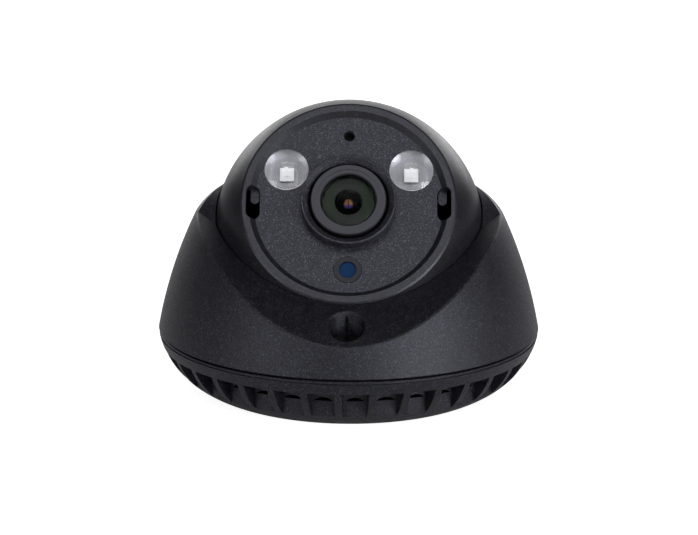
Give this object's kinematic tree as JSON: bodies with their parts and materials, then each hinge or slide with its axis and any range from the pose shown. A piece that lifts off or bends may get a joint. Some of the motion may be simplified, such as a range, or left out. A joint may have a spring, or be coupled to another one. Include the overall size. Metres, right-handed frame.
{
  "type": "dome cctv camera",
  "caption": "Round indoor dome security camera: a ball with lens, lamps and sensors turns in a scooped cover on a ribbed mounting base.",
  "frame": {"origin": "centre of the mounting base's flat foot", "axes": "+Z out of the mounting surface through the ball's centre, lens side towards -Y at rest"},
  "size_m": [0.094, 0.094, 0.07],
  "materials": {
    "housing_black": "fine spark-eroded texture",
    "ball_black": "very fine spark-eroded texture",
    "face_grey": "fine texture with a metallic fleck",
    "lens_black": "satin",
    "lens_glass": "coated",
    "lamp_clear": "clear moulded epoxy",
    "lamp_emitter": "ceramic package",
    "reflector_silver": "vacuum-metallised cup",
    "sensor_blue": "tinted filter",
    "sensor_collar": "smooth",
    "seat_nylon": "smooth nylon",
    "soft_rubber": "matte",
    "foam_black": "open foam",
    "steel_screw": "zinc plated",
    "black_screw": "black oxide",
    "brass_insert": "knurled",
    "circuit_board": "solder mask",
    "white_connector": "nylon",
    "chip_black": "epoxy",
    "filter_red": "dichroic",
    "mic_can": "plain"
  },
  "bodies": {
    "base": {"mounting_base": "housing_black", "cable_bush": "soft_rubber"},
    "turret": {"dome_cover": "housing_black", "ball_seat": "seat_nylon", "friction_ring": "soft_rubber", "seat_screws": "steel_screw", "lock_insert": "brass_insert"},
    "eyeball": {"ball_front_shell": "ball_black", "ball_rear_shell": "ball_black", "shell_screws": "black_screw", "cable_gland": "soft_rubber", "face_plate": "face_grey", "lamp_lens_left": "lamp_clear", "lamp_lens_right": "lamp_clear", "lamp_emitter_left": "lamp_emitter", "lamp_emitter_right": "lamp_emitter", "lamp_reflector_left": "reflector_silver", "lamp_reflector_right": "reflector_silver", "lamp_board": "circuit_board", "lamp_board_screws": "steel_screw", "lamp_board_socket": "white_connector", "photocell": "sensor_blue", "photocell_collar": "sensor_collar", "microphone": "mic_can", "light_shield": "foam_black", "lens_barrel": "lens_black", "lens_head": "lens_black", "lens_front_glass": "lens_glass", "lens_inner_cell": "lens_black", "lens_second_glass": "lens_glass", "lens_middle_glass": "lens_glass", "lens_rear_glass": "lens_glass", "lens_lock_ring": "lens_black", "lens_holder": "lens_black", "lens_holder_screws": "steel_screw", "infrared_cut_filter": "filter_red", "main_board": "circuit_board", "main_board_screws": "steel_screw", "image_sensor": "chip_black", "processor": "chip_black", "cable_socket": "white_connector"},
    "lock": {"lock_screw": "black_screw"}
  },
  "joints": [
    {"name": "pan", "type": "hinge", "parent": "base", "child": "turret", "pos_m": [0, 0, 0.0139], "axis": [0, 0, 1], "range_deg": [-180, 180]},
    {"name": "tilt", "type": "hinge", "parent": "turret", "child": "eyeball", "pos_m": [0, 0, 0.0367], "axis": [-1, 0, 0], "range_deg": [-20, 55]},
    {"name": "lock_turn", "type": "hinge", "parent": "turret", "child": "lock", "pos_m": [0, -0.03905, 0.0194], "axis": [0, 0, 1], "range_deg": [0, 450]}
  ]
}
